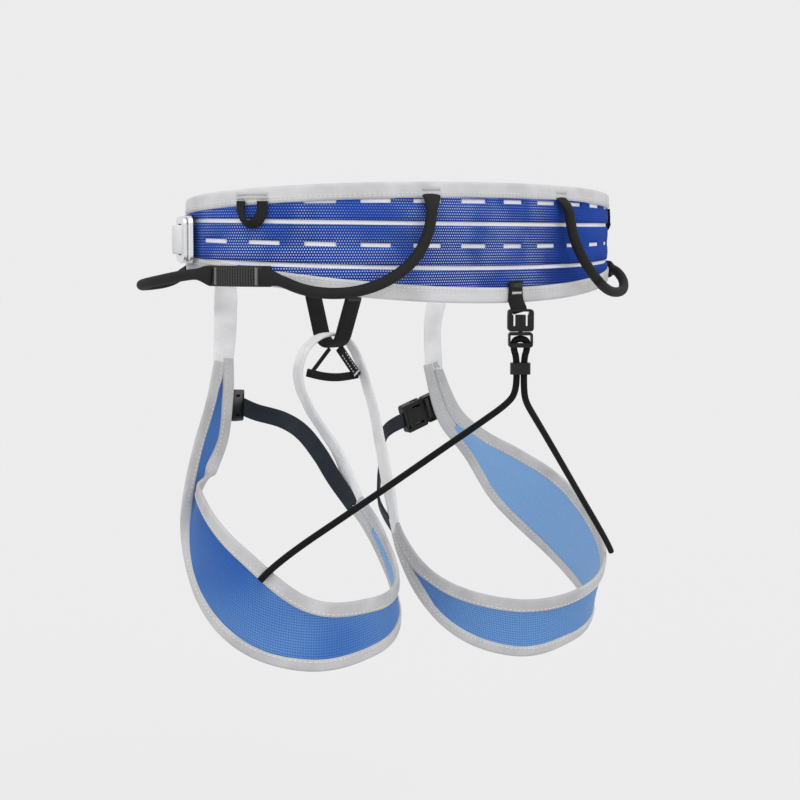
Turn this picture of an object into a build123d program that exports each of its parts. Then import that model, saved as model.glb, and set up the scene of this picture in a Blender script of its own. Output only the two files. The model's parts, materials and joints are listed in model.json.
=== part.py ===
"""Lightweight climbing harness: mesh waist belt, two leg loops, belay loop, gear loops and rear riser.

Frame: millimetres, +Z up. The origin is the middle of the waist, at half the belt's height.
The wearer faces -Y, so -Y is the front, +Y the back, +X the wearer's left.
"""
from build123d import *
from math import cos, degrees, pi, radians, sin, tan
import os

# ---- driving dimensions -------------------------------------------------------------------
WAIST_X, WAIST_Y = 175.5, 101.3        # outside half-widths of the belt: a 0.88 m waist
BELT_THICK = 3.0
LINER_THICK = 1.2
BINDING_STAND = 0.9                    # how far the folded binding stands proud of the mesh
BINDING_TALL = 10.5
BELT_FRONT_Y = -44.0                   # the padded belt ends here, the webbing goes on
BELT_TOP = ((-44, 24.7), (20, 30.15), (101, 37.0))       # (y, z) along the top edge
BELT_BOTTOM = ((-44, -20.5), (20, -25.0), (101, -41.5))  # (y, z) along the bottom edge
UPPER_SLIT = ((-44, 12.5), (20, 11.6), (101, 10.0))      # (y, z) along the two long slits
LOWER_SLIT = ((-44, -12.5), (20, -14.0), (101, -18.4))
UPPER_SLIT_FROM, LOWER_SLIT_FROM = -32.0, 42.0           # y where each one starts
MIDDLE_DASHES = ((-44, 0.5), (20, -1.0), (101, -4.3))    # (y, z) along the two broken slits
TOP_DASHES = ((-44, 21.0), (20, 22.3), (101, 24.5))
MIDDLE_DASH_COUNT, TOP_DASH_COUNT = 7, 3                 # to each side of the back
SLIT_TALL = 2.6
DASH_LENGTH, DASH_PITCH, DASH_RADIUS = 20.0, 35.0, 140.0

STRAP_TALL = 19.0                      # waist webbing
STRAP_THICK = 2.0
GAP = 0.4                              # daylight between soft parts that lie together
END_GAP = 3.4                          # and where two straps meet end to end at an angle

THIGH_X, THIGH_Y = 91.0, -9.0          # middle of each thigh
THIGH_A, THIGH_B = 77.0, 81.0          # half-widths of each thigh
EDGE_WIDE = 8.0                        # folded binding along the leg bands
PANEL_THICK = 1.8
EDGE_THICK = 3.0

# A leg band's two edges, from the outer front, round the back, to the crotch:
# (angle from the thigh's front, distance as a share of the thigh, height)
BAND_TOP = {
    "left": ((4, .95, -84), (6, .92, -112), (13, .90, -146), (35, .88, -164), (70, .91, -167),
             (110, .95, -194), (145, .95, -225), (180, .87, -231), (215, .82, -230),
             (255, .83, -214), (286, .95, -188)),
    "right": ((9, .93, -98), (24, .93, -138), (42, .95, -158), (62, .98, -172), (88, 1.02, -191),
              (115, 1.06, -218), (145, 1.08, -242), (180, 1.05, -254), (215, 1.03, -256),
              (255, 1.04, -243), (286, 1.03, -213)),
}
BAND_BOTTOM = {
    "left": ((17, .97, -88), (24, .98, -116), (36, 1.01, -146), (55, 1.03, -187), (80, 1.03, -229),
             (112, 1.04, -259), (145, 1.0, -271), (180, .91, -269), (215, .84, -264),
             (252, .86, -249), (297, .97, -196)),
    "right": ((-3, .95, -102), (8, .95, -146), (28, .95, -180), (48, .95, -220), (78, .97, -254),
              (112, .96, -279), (145, .95, -287), (180, .98, -294), (215, 1.01, -298),
              (252, 1.03, -279), (298, 1.02, -222)),
}
BAND_STEPS = 30                        # straight spans along a band
PANEL_FIRST, PANEL_LAST = 4, 29        # the mesh panel ends before the bindings meet

SIDES = {"left": 1, "right": -1}
NODES = {}


# ---- helpers ------------------------------------------------------------------------------
def keep(name, *solids):
    """Give one separate piece, or one group of like pieces, its own node."""
    NODES[name] = Compound(children=list(solids)) if len(solids) > 1 else solids[0]


def waist_point(angle, out=0.0, z=0.0):
    """Point on the waist line, angle in degrees from the back towards the wearer's left."""
    a = radians(angle)
    return Vector((WAIST_X + out) * sin(a), (WAIST_Y + out) * cos(a), z)


def waist_normal(angle):
    a = radians(angle)
    return Vector(sin(a) / WAIST_X, cos(a) / WAIST_Y, 0).normalized()


def waist_plane(angle, out=0.0, z=0.0):
    """Plane on the belt: its x runs along the belt, its y is up and its z points outwards."""
    normal = waist_normal(angle)
    return Plane(origin=waist_point(angle, out, z), x_dir=Vector(0, 0, 1).cross(normal), z_dir=normal)


def waist_wall(outside, thickness):
    """Upright tube round the waist; outside is how far its face stands from the waist line."""
    inside = outside - thickness
    ring = Ellipse(WAIST_X + outside, WAIST_Y + outside) - Ellipse(WAIST_X + inside, WAIST_Y + inside)
    return extrude(ring, amount=60, both=True)


def belt_line(stations, shift):
    """Line along the belt through (y, z) stations, moved up or down, with one more point behind."""
    points = [(y, z + shift) for y, z in stations]
    (y0, z0), (y1, z1) = points[1:]
    return [*points, (y1 + 20, z1 + (z1 - z0) * 20 / (y1 - y0))]


def belt_band(low, high):
    """Solid across the whole belt between two such lines, as seen from the side."""
    bottom = Spline(*[Vector(0, y, z) for y, z in belt_line(*low)])
    top = Spline(*[Vector(0, y, z) for y, z in belt_line(*high)])
    front, back = Line(bottom @ 0, top @ 0), Line(bottom @ 1, top @ 1)
    return extrude(make_face([bottom, back, top, front]), amount=220, dir=(1, 0, 0), both=True)


def smooth(stations, share):
    """Value at a share of the way along a list of stations, without corners."""
    place = share * (len(stations) - 1)
    k = min(int(place), len(stations) - 2)
    t = place - k
    before, a, b, after = (stations[min(max(k + step, 0), len(stations) - 1)] for step in (-1, 0, 1, 2))
    return [
        0.5 * (2 * q + (r - p) * t + (2 * p - 5 * q + 4 * r - s) * t * t + (3 * q - p - 3 * r + s) * t ** 3)
        for p, q, r, s in zip(before, a, b, after)
    ]


def thigh_point(side, station):
    angle, reach, z = station
    a = radians(angle)
    x = THIGH_X + THIGH_A * reach * sin(a)
    return Vector(SIDES[side] * x, THIGH_Y - THIGH_B * reach * cos(a), z)


def section(centre, across, normal, width, thickness):
    """Rectangular face, for lofting a strap."""
    u = across.normalized() * (width / 2)
    n = normal.normalized() * (thickness / 2)
    corners = [centre + u + n, centre - u + n, centre - u - n, centre + u - n]
    return Face(Wire.make_polygon(corners, close=True))


def strap(points, acrosses, widths, thickness):
    """Webbing through the points; across is the direction of its width at each one."""
    faces = []
    for point, ahead, across, width in zip(points, along_path(points), acrosses, widths):
        point, across = Vector(*point), Vector(*across)
        across = across - ahead * (across.dot(ahead) / ahead.dot(ahead))
        faces.append(section(point, across, ahead.cross(across), width, thickness))
    return loft(faces, ruled=True)


def along_path(points):
    """Direction of travel at each point."""
    points = [Vector(*p) for p in points]
    return [b - a for a, b in zip([points[0], *points[:-1]], [*points[1:], points[-1]])]


def tube(points, diameter):
    """Round cord of straight runs joined by the largest tangent arcs that they leave room for."""
    points = [Vector(*p) for p in points]
    radii = []
    for before, here, after in zip(points, points[1:], points[2:]):
        run = min((here - before).length, (after - here).length)
        turn = radians((here - before).get_angle(after - here))
        radii.append(0.45 * run / tan(turn / 2))
    path = FilletPolyline(*points, radius=radii)
    solid = sweep(Plane(origin=path @ 0, z_dir=path % 0) * Circle(diameter / 2), path=path)
    share = solid.volume / (pi * diameter ** 2 / 4 * path.length)
    print("tube radii", [round(r) for r in radii], "length", round(path.length), "volume share", round(share, 3))
    return solid


def block(plane, length, width, height, round_by=0.0):
    """Box on a plane, its base on the plane, with rounded upright edges."""
    outline = RectangleRounded(length, width, round_by) if round_by else Rectangle(length, width)
    return extrude(plane * outline, amount=height)


# ---- waist belt ---------------------------------------------------------------------------
def belt_row(stations):
    """Solid across the belt as tall as a slit."""
    return belt_band((stations, -SLIT_TALL / 2), (stations, SLIT_TALL / 2))


def make_belt():
    margin = BINDING_TALL + GAP / 2
    panel = waist_wall(0, BELT_THICK) & belt_band((BELT_BOTTOM, margin), (BELT_TOP, -margin))
    for stations, first_y in ((UPPER_SLIT, UPPER_SLIT_FROM), (LOWER_SLIT, LOWER_SLIT_FROM)):
        panel -= belt_row(stations) & Pos(0, first_y + 100, 0) * Box(400, 200, 120)
    dashes = []
    for stations, most in ((MIDDLE_DASHES, MIDDLE_DASH_COUNT), (TOP_DASHES, TOP_DASH_COUNT)):
        row = belt_row(stations)
        for count in range(-most, most + 1):
            spot = waist_plane(count * degrees(DASH_PITCH / DASH_RADIUS), -10)
            dashes.append(row & block(spot, DASH_LENGTH, 120, 20))
    panel -= dashes
    keep("belt_mesh_panel", panel)

    liner = waist_wall(-BELT_THICK - 0.2, LINER_THICK) & belt_band((BELT_BOTTOM, 3), (BELT_TOP, -3))
    keep("belt_liner", liner)
    wall = waist_wall(BINDING_STAND, BELT_THICK + BINDING_STAND)
    inner_edge = BINDING_TALL - GAP / 2
    keep("belt_bottom_binding", wall & belt_band((BELT_BOTTOM, 0), (BELT_BOTTOM, inner_edge)))
    keep("belt_top_binding", wall & belt_band((BELT_TOP, -inner_edge), (BELT_TOP, 0)))


# ---- front closure ------------------------------------------------------------------------
TAIL_OUT = 6.6                          # the free end of the waist webbing lies outside the strap
BUCKLE_ANGLE = 99.0
TAIL_FROM_Y = -33.0
KEEPER_ANGLE = 163.0


def front_arc(first_y, left_only=False):
    """Everything in front of first_y, or its left half."""
    cut = Pos(0, first_y - 100, 0) * Box(400, 200, STRAP_TALL)
    return cut & Pos(200, 0, 0) * Box(400, 400, 100) if left_only else cut


def make_closure():
    keep("waist_webbing", waist_wall(-0.2, STRAP_THICK) & front_arc(BELT_FRONT_Y - GAP))
    tail = waist_wall(TAIL_OUT, STRAP_THICK) & front_arc(TAIL_FROM_Y, True)
    keep("waist_webbing_tail", tail - Pos(0, -110, 0) * Box(60, 60, 60))

    for side, sign in SIDES.items():
        patch = waist_wall(BINDING_STAND + 1.5, 1.2) & Pos(sign * 160, -18, 1) * Box(90, 16, 29)
        keep(f"belt_end_tab_{side}", patch)

    seat = waist_plane(BUCKLE_ANGLE, 3.0)
    frame = block(seat, 27, 30, 2.4, 5)
    for x in (-6.2, 6.2):
        frame -= block(seat * Pos(x, 0, -1), 6.5, STRAP_TALL + 2, 5, 1.5)
    keep("waist_buckle_frame", fillet(frame.edges().filter_by(GeomType.CIRCLE, reverse=True).group_by(
        Axis(seat.origin, seat.z_dir))[-1], 0.5))
    slider_seat = waist_plane(BUCKLE_ANGLE, 5.8)
    slider = block(slider_seat, 18, 28, 2.0, 4) - block(slider_seat * Pos(0, 0, -1), 7, STRAP_TALL + 1, 5, 1.5)
    keep("waist_buckle_slider", slider)

    keeper_seat = waist_plane(KEEPER_ANGLE, -3.4) * Rot(0, 90, 0)
    ring_deep = TAIL_OUT + 5.0
    ring = block(keeper_seat * Pos(-ring_deep / 2 + 0.2, 0, -5), ring_deep + 1.4, STRAP_TALL + 4, 10, 2.5)
    ring -= block(keeper_seat * Pos(-ring_deep / 2 + 0.2, 0, -6), ring_deep - 1.2, STRAP_TALL + 1.4, 12, 1.0)
    keep("webbing_keeper", ring)


# ---- gear and haul loops ------------------------------------------------------------------
GEAR_CORD = 7.6
REAR_LOOP = {                           # (angle round the waist, how far out, height)
    "left": ((22.5, 6, 24), (23.5, 9, 6), (26.5, 12, -11), (32.5, 14, -25), (41, 15, -33),
             (51, 13, -32), (60.5, 6, -23)),
    "right": ((16.5, 6, 24), (16, 9, 6), (18, 12, -10), (22.5, 14.5, -25), (30, 15.5, -37),
              (40, 17, -38), (48, 14, -30), (54, 6, -22)),
}
FRONT_LOOP = (                          # (x, y, z), leaning forwards off the hip
    (180.6, 7, -21), (184, -13, -23), (188, -38, -27), (185, -62, -30), (172, -76, -31),
    (157, -70, -29), (155, -54, -22),
)
RIB_LEVEL, RIB_TALL = -22.5, 13.0
HAUL_ANGLE, HAUL_TOP, HAUL_WIDE, HAUL_TALL, HAUL_WEB = 68.0, 23.5, 21.0, 17.5, 6.5


def make_loops():
    for side, sign in SIDES.items():
        rear = [waist_point(sign * angle, out, z) for angle, out, z in REAR_LOOP[side]]
        keep(f"gear_loop_rear_{side}", tube(rear, GEAR_CORD))
        front = [(sign * x, y, z) for x, y, z in FRONT_LOOP]
        keep(f"gear_loop_front_{side}", tube(front, GEAR_CORD))
        ribbed = waist_wall(BINDING_STAND + 2.4, 2.1) & Pos(sign * 150, 29.5, RIB_LEVEL) * Box(120, 35, RIB_TALL)
        keep(f"gear_loop_webbing_{side}", ribbed)

        seat = waist_plane(sign * HAUL_ANGLE, BINDING_STAND + 0.5, HAUL_TOP - HAUL_TALL / 2)
        loop = block(seat, HAUL_WIDE, HAUL_TALL, 1.6, 8)
        inside = seat * Pos(0, 1.0, -1)
        loop -= block(inside, HAUL_WIDE - 2 * HAUL_WEB, HAUL_TALL - HAUL_WEB - 4, 4, 2.4)
        keep(f"haul_loop_{side}", loop)


# ---- leg loops ----------------------------------------------------------------------------
def band_faces(side, low, high, thickness, first, last):
    """Sections of a strip along a leg band; low and high give its edges from the band's width."""
    faces = []
    for k in range(first, last + 1):
        share = k / BAND_STEPS
        top = thigh_point(side, smooth(BAND_TOP[side], share))
        bottom = thigh_point(side, smooth(BAND_BOTTOM[side], share))
        middle_line = [
            (thigh_point(side, smooth(BAND_TOP[side], s)) + thigh_point(side, smooth(BAND_BOTTOM[side], s))) / 2
            for s in (max(share - 0.02, 0), min(share + 0.02, 1))
        ]
        wide = (top - bottom).length
        across = (top - bottom).normalized()
        a, b = low(wide), high(wide)
        along = middle_line[1] - middle_line[0]
        faces.append(section(bottom + across * ((a + b) / 2), across, along.cross(across), b - a, thickness))
    return faces


def make_leg_bands():
    for side in SIDES:
        panel = band_faces(side, lambda w: EDGE_WIDE + GAP, lambda w: max(w - EDGE_WIDE, EDGE_WIDE + 1) - GAP,
                           PANEL_THICK, PANEL_FIRST, PANEL_LAST)
        keep(f"leg_panel_{side}", loft(panel, ruled=True))
        lower = band_faces(side, lambda w: 0, lambda w: min(EDGE_WIDE, w / 2 - GAP), EDGE_THICK, 0, BAND_STEPS)
        keep(f"leg_lower_binding_{side}", loft(lower, ruled=True))
        upper = band_faces(side, lambda w: max(w - EDGE_WIDE, w / 2 + GAP), lambda w: w, EDGE_THICK, 0, BAND_STEPS)
        keep(f"leg_upper_binding_{side}", loft(upper, ruled=True))


SIDE_STRAP_X, SIDE_STRAP_WIDE = 103.0, 19.0
SIDE_STRAP = {                          # (point, direction of the width, width), top to bottom
    "left": (((103, -78.5, -14.5), (18, 8, 0), 19), ((103, -84, -34), (16, 0, 0), 18),
             ((101, -88, -60), (13, -8, 0), 16)),
    "right": (((103, -78.5, -14.5), (18, 8, 0), 19), ((102, -83, -38), (18, 6, 0), 18),
              ((97, -86, -70), (16, 3, 0), 16)),
}
BRIDGE = (                              # middle line of the strap that joins the two leg loops
    (23, -56, -160), (34, -76, -128), (38, -86, -104), (29, -91, -84), (11, -92, -73.5),
    (-8, -92, -74.5), (-20, -91, -87), (-29, -88, -112), (-32, -80, -140), (-27, -61, -182),
)
BRIDGE_WIDE = 11.0
THIGH_STRAP = {                         # middle line, crotch to buckle
    "left": ((29, -54, -176), (32, -67, -160), (38, -81, -144), (47, -94, -135), (63, -106, -129)),
    "right": ((-24, -66, -203), (-36, -79, -178), (-52, -93, -154.5)),
}
THIGH_STRAP_WIDE = 12.5
THIGH_STRAP_THICK = 1.6
KEEPER_POINTS = ((-6, -83.9), (-23, -105.5), (-10, -110), (8, -108.5), (23.5, -101), (6, -83.9))
KEEPER_BAND, KEEPER_THICK = 4.0, 2.4


def band_end(side, share):
    """Middle of a leg band's end and the direction of its width."""
    top = thigh_point(side, smooth(BAND_TOP[side], share))
    bottom = thigh_point(side, smooth(BAND_BOTTOM[side], share))
    return (top + bottom) / 2, top - bottom


def step_on(side, share, length):
    """Middle of the band's end, moved straight on past the end."""
    middle, across = band_end(side, share)
    inner, _ = band_end(side, abs(share - 0.03))
    return middle + (middle - inner).normalized() * length, across


def make_leg_straps():
    for side, sign in SIDES.items():
        stations = [((sign * x, y, z), (sign * u, v, w), wide) for (x, y, z), (u, v, w), wide in SIDE_STRAP[side]]
        end, across = step_on(side, 0, END_GAP)
        if side == "left":
            across = -across
        points = [p for p, _, _ in stations] + [end]
        acrosses = [a for _, a, _ in stations] + [across]
        widths = [w for _, _, w in stations] + [15]
        keep(f"side_strap_{side}", strap(points, acrosses, widths, STRAP_THICK))
        anchor = waist_wall(-STRAP_THICK - 0.8, 1.8) & Pos(sign * SIDE_STRAP_X, -75, -2) * Box(SIDE_STRAP_WIDE, 40, 22)
        keep(f"side_strap_anchor_{side}", anchor)

    left_end, left_across = step_on("left", 1, END_GAP)
    right_end, right_across = step_on("right", 1, END_GAP)
    points = [left_end, *BRIDGE, right_end]
    rear = (0, 1, 0)
    acrosses = [left_across, (0.1, 1, 0.4), *[rear] * 8, (0, 1, 0.4), right_across]
    widths = [14, *[BRIDGE_WIDE] * 10, 14]
    keep("leg_bridge_strap", strap(points, acrosses, widths, STRAP_THICK))

    triangle = Polyline(*[Vector(x, 0, z) for x, z in KEEPER_POINTS], close=True)
    outside = make_face(triangle)
    inside = offset(outside, -KEEPER_BAND, kind=Kind.INTERSECTION)
    ring = extrude(outside - inside, amount=KEEPER_THICK / 2, dir=(0, 1, 0), both=True)
    keep("belay_keeper_strap", Pos(0, -92, 0) * ring)


BELAY_CIRCLES = ((-93.0, -6.0, 22.5), (-92.5, -38.0, 27.0), (-93.5, -66.5, 16.5))  # (y, z, radius)
BELAY_THICK, BELAY_WIDE = 3.4, 15.0


def belay_outline(shrink):
    circles = [Pos(y, z) * Circle(radius - shrink) for y, z, radius in BELAY_CIRCLES]
    return make_hull([edge for circle in circles for edge in circle.edges()])


def make_belay_loop():
    ring = Plane.YZ * (belay_outline(0) - belay_outline(BELAY_THICK))
    keep("belay_loop", extrude(ring, amount=BELAY_WIDE / 2, both=True))


# ---- side-release buckles -----------------------------------------------------------------
# Local frame: origin at the mouth of the socket, y into the socket, x across, z through it.
def buckle_socket(width, depth, thick, open_sides=False):
    body = extrude(Pos(0, depth / 2) * RectangleRounded(width, depth, 2.2), amount=thick / 2, both=True)
    cavity = Pos(0, 5.5, 0) * Box(width - 3.2, 13, thick - 2.2)
    windows = Pos(0, 7.4, 0) * Box(width + 2, 6.4, thick - 2.2)
    if open_sides:
        windows += Pos(0, 4.6, 0) * Box(width + 2, 12, thick - 2.2)
    for sign in SIDES.values():
        body -= Pos(sign * (width / 2 - 4.4), 7.6, 0) * Box(1.8, 8.5, thick + 2)
    webbing_slot = Pos(0, depth - 2.6, 0) * Box(width - 6, 2.2, thick + 2)
    return body - cavity - windows - webbing_slot


def buckle_plug(width, depth, thick, slot_tall):
    """The plug's base and middle tongue."""
    base = extrude(Pos(0, -0.6 - depth / 2) * RectangleRounded(width - 1, depth, 2), amount=thick / 2, both=True)
    base -= Pos(0, -2.6 - slot_tall / 2, 0) * Box(width - 3.6, slot_tall, thick + 2)
    return base + Pos(0, 4.5, 0) * Box(2.6, 10.6, 1.8)


def buckle_prong(width, sign):
    """One squeeze prong, whose head stands in the socket's side window."""
    half = width / 2
    outline = [(half - 3.8, -0.1), (half - 2.2, -0.1), (half - 2.6, 4.0), (half - 0.5, 6.0),
               (half - 0.5, 9.4), (half - 2.0, 10.3), (half - 3.8, 10.3)]
    face = make_face(Polyline(*[(sign * x, y) for x, y in outline], close=True))
    return extrude(face, amount=1.4, both=True)


def aimed(origin, into, across):
    """Plane of a buckle from its mouth, the way into the socket and the way across it."""
    into, across = Vector(*into).normalized(), Vector(*across)
    across = (across - into * across.dot(into)).normalized()
    return Plane(origin=origin, x_dir=across, z_dir=across.cross(into))


RISER_WIDE, RISER_SOCKET, RISER_PLUG, RISER_THICK = 17.0, 14.5, 10.0, 6.2
RISER_MOUTH = (0, 108.0, -60.0)
RISER_ACROSS = (-0.77, 0.64, 0)         # the buckle hangs twisted, its face to the left and back
RISER_CORD = 4.4
RISER_CORD_TOP = ((4.4, -5), (4.4, -12), (2.4, -17.5), (2.4, -40))  # (across, along) in the buckle
RISER_CORD_LEFT = (                     # on from the buckle to the left leg band
    (8, 103.5, -108), (24, 96.5, -119), (48, 86, -135), (98, 63.5, -169), (150.5, 41, -203), (158.4, 36.8, -213.2),
)
RISER_CORD_RIGHT = (                    # and to the right leg band
    (-7, 107, -108), (-18, 103.5, -118), (-40, 96.4, -137.5), (-92, 79.6, -185), (-140, 64, -228),
    (-148, 61, -237),
)
STOP_AT = (0, 108.0, -84.5)
THIGH_BUCKLE = (23.0, 21.0, 14.5, 6.4)
BUCKLE_SITE = {                         # mouth of the thigh buckle and the way into its socket
    "left": ((91, -98, -121), (-0.805, -0.585, -0.10)),
    "right": ((-95.5, -95.5, -140), (0.93, -0.10, -0.30)),
}
TAB_END = {"left": (114, -87.5, -116), "right": (-113.5, -87, -131)}


def make_riser():
    tab = waist_wall(BINDING_STAND + 1.9, 1.5) & Pos(0, 105, -37) * Box(12, 20, 15)
    keep("riser_tab", tab)
    seat = aimed(RISER_MOUTH, (0, 0, 1), RISER_ACROSS)
    keep("riser_buckle_socket", seat * buckle_socket(RISER_WIDE, RISER_SOCKET, RISER_THICK, open_sides=True))
    plug = buckle_plug(RISER_WIDE, RISER_PLUG, RISER_THICK, 5.2)
    for sign in SIDES.values():
        hole = Pos(sign * RISER_CORD_TOP[0][0], -6, 0) * Rot(90, 0, 0) * Cylinder(RISER_CORD / 2 + 0.3, 14)
        plug -= hole & Pos(0, -9, 0) * Box(30, 11, 30)
    keep("riser_buckle_plug", seat * plug)
    for name, sign in (("left", -1), ("right", 1)):
        keep(f"riser_buckle_prong_{name}", seat * buckle_prong(RISER_WIDE, sign))
    left = [seat.from_local_coords(Vector(-x, y, 0)) for x, y in RISER_CORD_TOP]
    right = [seat.from_local_coords(Vector(x, y, 0)) for x, y in RISER_CORD_TOP]
    left += [Vector(*point) for point in RISER_CORD_LEFT]
    right += [Vector(*point) for point in RISER_CORD_RIGHT]
    keep("riser_cord", tube([*reversed(left), *right], RISER_CORD))
    stop = extrude(RectangleRounded(13.2, 8.6, 3), amount=7.5)
    stop -= Pos(0, 0, -1) * extrude(RectangleRounded(10.4, 5.4, 2.6), amount=10)
    stop_seat = aimed(STOP_AT, (0, 0, 1), RISER_ACROSS)
    keep("riser_cord_stop", stop_seat * (Pos(0, 3.75, 0) * Rot(90, 0, 0) * stop))


def make_thigh_closures():
    wide, socket, plug_deep, thick = THIGH_BUCKLE
    for side, sign in SIDES.items():
        mouth, way = BUCKLE_SITE[side]
        seat = aimed(mouth, way, (0, 0, 1))
        keep(f"thigh_buckle_socket_{side}", seat * buckle_socket(wide, socket, thick))
        keep(f"thigh_buckle_plug_{side}", seat * buckle_plug(wide, plug_deep, thick, 3.0))
        for name, prong_sign in (("upper", 1), ("lower", -1)):
            keep(f"thigh_buckle_prong_{name}_{side}", seat * buckle_prong(wide, prong_sign))

        points = [Vector(*p) for p in THIGH_STRAP[side]]
        points.append(seat.from_local_coords(Vector(0, socket + END_GAP, 0)))
        middle = Vector(sign * THIGH_X, THIGH_Y, 0)
        acrosses = []
        for point, ahead in zip(points, along_path(points)):
            facing = Vector(point.X, point.Y, 0) - middle
            acrosses.append(ahead.cross(facing))
        widths = [THIGH_STRAP_WIDE] * len(points)
        keep(f"thigh_strap_{side}", strap(points, acrosses, widths, THIGH_STRAP_THICK))

        root = seat.from_local_coords(Vector(0, -plug_deep - END_GAP - 0.6, 0))
        tab_points = [root, (root + Vector(*TAB_END[side])) / 2, Vector(*TAB_END[side])]
        keep(f"thigh_buckle_tab_{side}", strap(tab_points, [seat.x_dir] * 3, [12, 12, 12], THIGH_STRAP_THICK))


# ---- stitching ----------------------------------------------------------------------------
def make_bartacks():
    tacks = []
    for sign in SIDES.values():
        for angle in (63.5, 79.0):
            tacks.append(block(waist_plane(sign * angle, BINDING_STAND + 2.9, RIB_LEVEL), 2.5, 11, 0.5))
        tacks.append(block(waist_plane(sign * HAUL_ANGLE, BINDING_STAND + 0.2, HAUL_TOP + 3.4), 20, 2, 0.5))
    tacks.append(block(waist_plane(0, BINDING_STAND + 2.3, -35), 9, 2.5, 0.5))
    keep("bartack_stitching", *tacks)


make_belt()
make_closure()
make_loops()
make_leg_bands()
make_leg_straps()
make_belay_loop()
make_riser()
make_thigh_closures()
make_bartacks()

os.makedirs("parts", exist_ok=True)
for name, shape in NODES.items():
    export_step(shape, f"parts/{name}.step")
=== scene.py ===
"""Looks of the climbing harness: woven mesh, tape, webbing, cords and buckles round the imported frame.

Named values are millimetres and become metres where a mesh is made.
+Z is up, the wearer faces -Y, +X is the wearer's left, and the origin is the middle of the waist.
"""
import bmesh
import bpy
import json
import math
import numpy as np
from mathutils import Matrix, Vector, noise


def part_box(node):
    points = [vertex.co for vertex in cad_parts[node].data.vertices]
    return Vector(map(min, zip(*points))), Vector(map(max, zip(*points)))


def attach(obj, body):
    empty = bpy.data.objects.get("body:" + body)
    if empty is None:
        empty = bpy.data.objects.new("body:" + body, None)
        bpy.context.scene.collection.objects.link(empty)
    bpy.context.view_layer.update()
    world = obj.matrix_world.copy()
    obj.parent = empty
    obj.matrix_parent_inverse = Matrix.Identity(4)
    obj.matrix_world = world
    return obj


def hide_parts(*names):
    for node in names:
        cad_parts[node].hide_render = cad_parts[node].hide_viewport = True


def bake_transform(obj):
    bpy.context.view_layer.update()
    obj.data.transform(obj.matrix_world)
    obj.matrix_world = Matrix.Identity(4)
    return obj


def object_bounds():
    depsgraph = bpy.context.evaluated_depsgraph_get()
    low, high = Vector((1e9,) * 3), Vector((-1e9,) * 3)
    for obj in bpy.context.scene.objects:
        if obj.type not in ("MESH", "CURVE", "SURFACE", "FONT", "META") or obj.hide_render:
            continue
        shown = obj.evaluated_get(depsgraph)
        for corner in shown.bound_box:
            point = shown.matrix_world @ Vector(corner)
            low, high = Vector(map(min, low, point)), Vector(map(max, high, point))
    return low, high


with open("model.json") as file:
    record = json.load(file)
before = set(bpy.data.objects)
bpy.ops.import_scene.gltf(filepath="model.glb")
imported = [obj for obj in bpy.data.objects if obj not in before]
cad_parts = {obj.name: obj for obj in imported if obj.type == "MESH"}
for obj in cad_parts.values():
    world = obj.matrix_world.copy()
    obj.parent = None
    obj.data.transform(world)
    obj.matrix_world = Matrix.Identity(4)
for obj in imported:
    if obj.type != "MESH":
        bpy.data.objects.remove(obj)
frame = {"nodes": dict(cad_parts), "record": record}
cad_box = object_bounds()
up = Vector((0, 0, 1))
MM = 0.001
SIDES = {"left": 1, "right": -1}
RIB_PITCH = 1.75  # between the ribs of the webbing between the gear loops
MESH_PITCH = 1.7  # between the holes of the meshes
FACE_SHIFT = 510.0  # added across the cloth on the leg mesh's face towards the thigh, which carries painted sheen


# ---- camera, light and floor ----
CAMERA_AT = Vector((631.1, 723.4, 0.0))
CAMERA_PITCH, CAMERA_YAW = 3.43, 0.52  # degrees down, and towards the wearer's left
LENS, SHIFT_UP = 60.4, 0.10
BACKDROP = 0.84


def new_object(name, data):
    made = bpy.data.objects.new(name, data)
    bpy.context.scene.collection.objects.link(made)
    return made


def make_camera():
    camera = new_object("camera", bpy.data.cameras.new("camera"))
    camera.location = CAMERA_AT * MM
    heading = math.atan2(-CAMERA_AT.x, -CAMERA_AT.y)
    turn = math.radians(CAMERA_YAW) - heading
    camera.rotation_euler = (math.radians(90 - CAMERA_PITCH), 0, turn)
    camera.data.lens = LENS
    camera.data.shift_y = -SHIFT_UP
    bpy.context.scene.camera = camera


def sun(name, place, angle, strength):
    """Wide soft light from the direction of a place; gives back how much of it falls on level ground."""
    light = new_object(name, bpy.data.lights.new(name, "SUN"))
    light.data.angle = math.radians(angle)
    light.data.energy = strength
    light.location = place
    light.rotation_mode = "QUATERNION"
    light.rotation_quaternion = Vector(place).to_track_quat("Z", "Y")
    return strength * Vector(place).normalized().z


def make_studio():
    world = bpy.data.worlds.new("studio")
    world.use_nodes = True
    backdrop = world.node_tree.nodes["Background"]
    backdrop.inputs["Color"].default_value = (BACKDROP, BACKDROP, BACKDROP, 1)
    backdrop.inputs["Strength"].default_value = 1.0
    bpy.context.scene.world = world
    bpy.context.scene.view_settings.view_transform = "Standard"
    falling = sun("key", (0.2, 1.6, 1.7), 50, 1.1) + sun("side", (1.9, 0.2, 1.0), 60, 0.6)
    floor_tone = BACKDROP / (BACKDROP + falling / math.pi)

    drop = cad_box[0].z - 0.45
    floor_mesh = bpy.data.meshes.new("floor")
    reach = 14
    corners = [(-reach, -reach, drop), (reach, -reach, drop), (reach, reach, drop), (-reach, reach, drop)]
    floor_mesh.from_pydata(corners, [], [(0, 1, 2, 3)])
    paint = Finish("floor_paint", 1.0, Specular_IOR_Level=0.0)
    paint.set("Base Color", (floor_tone, floor_tone, floor_tone, 1))
    floor_mesh.materials.append(paint.material)
    floor = new_object("floor", floor_mesh)


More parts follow.
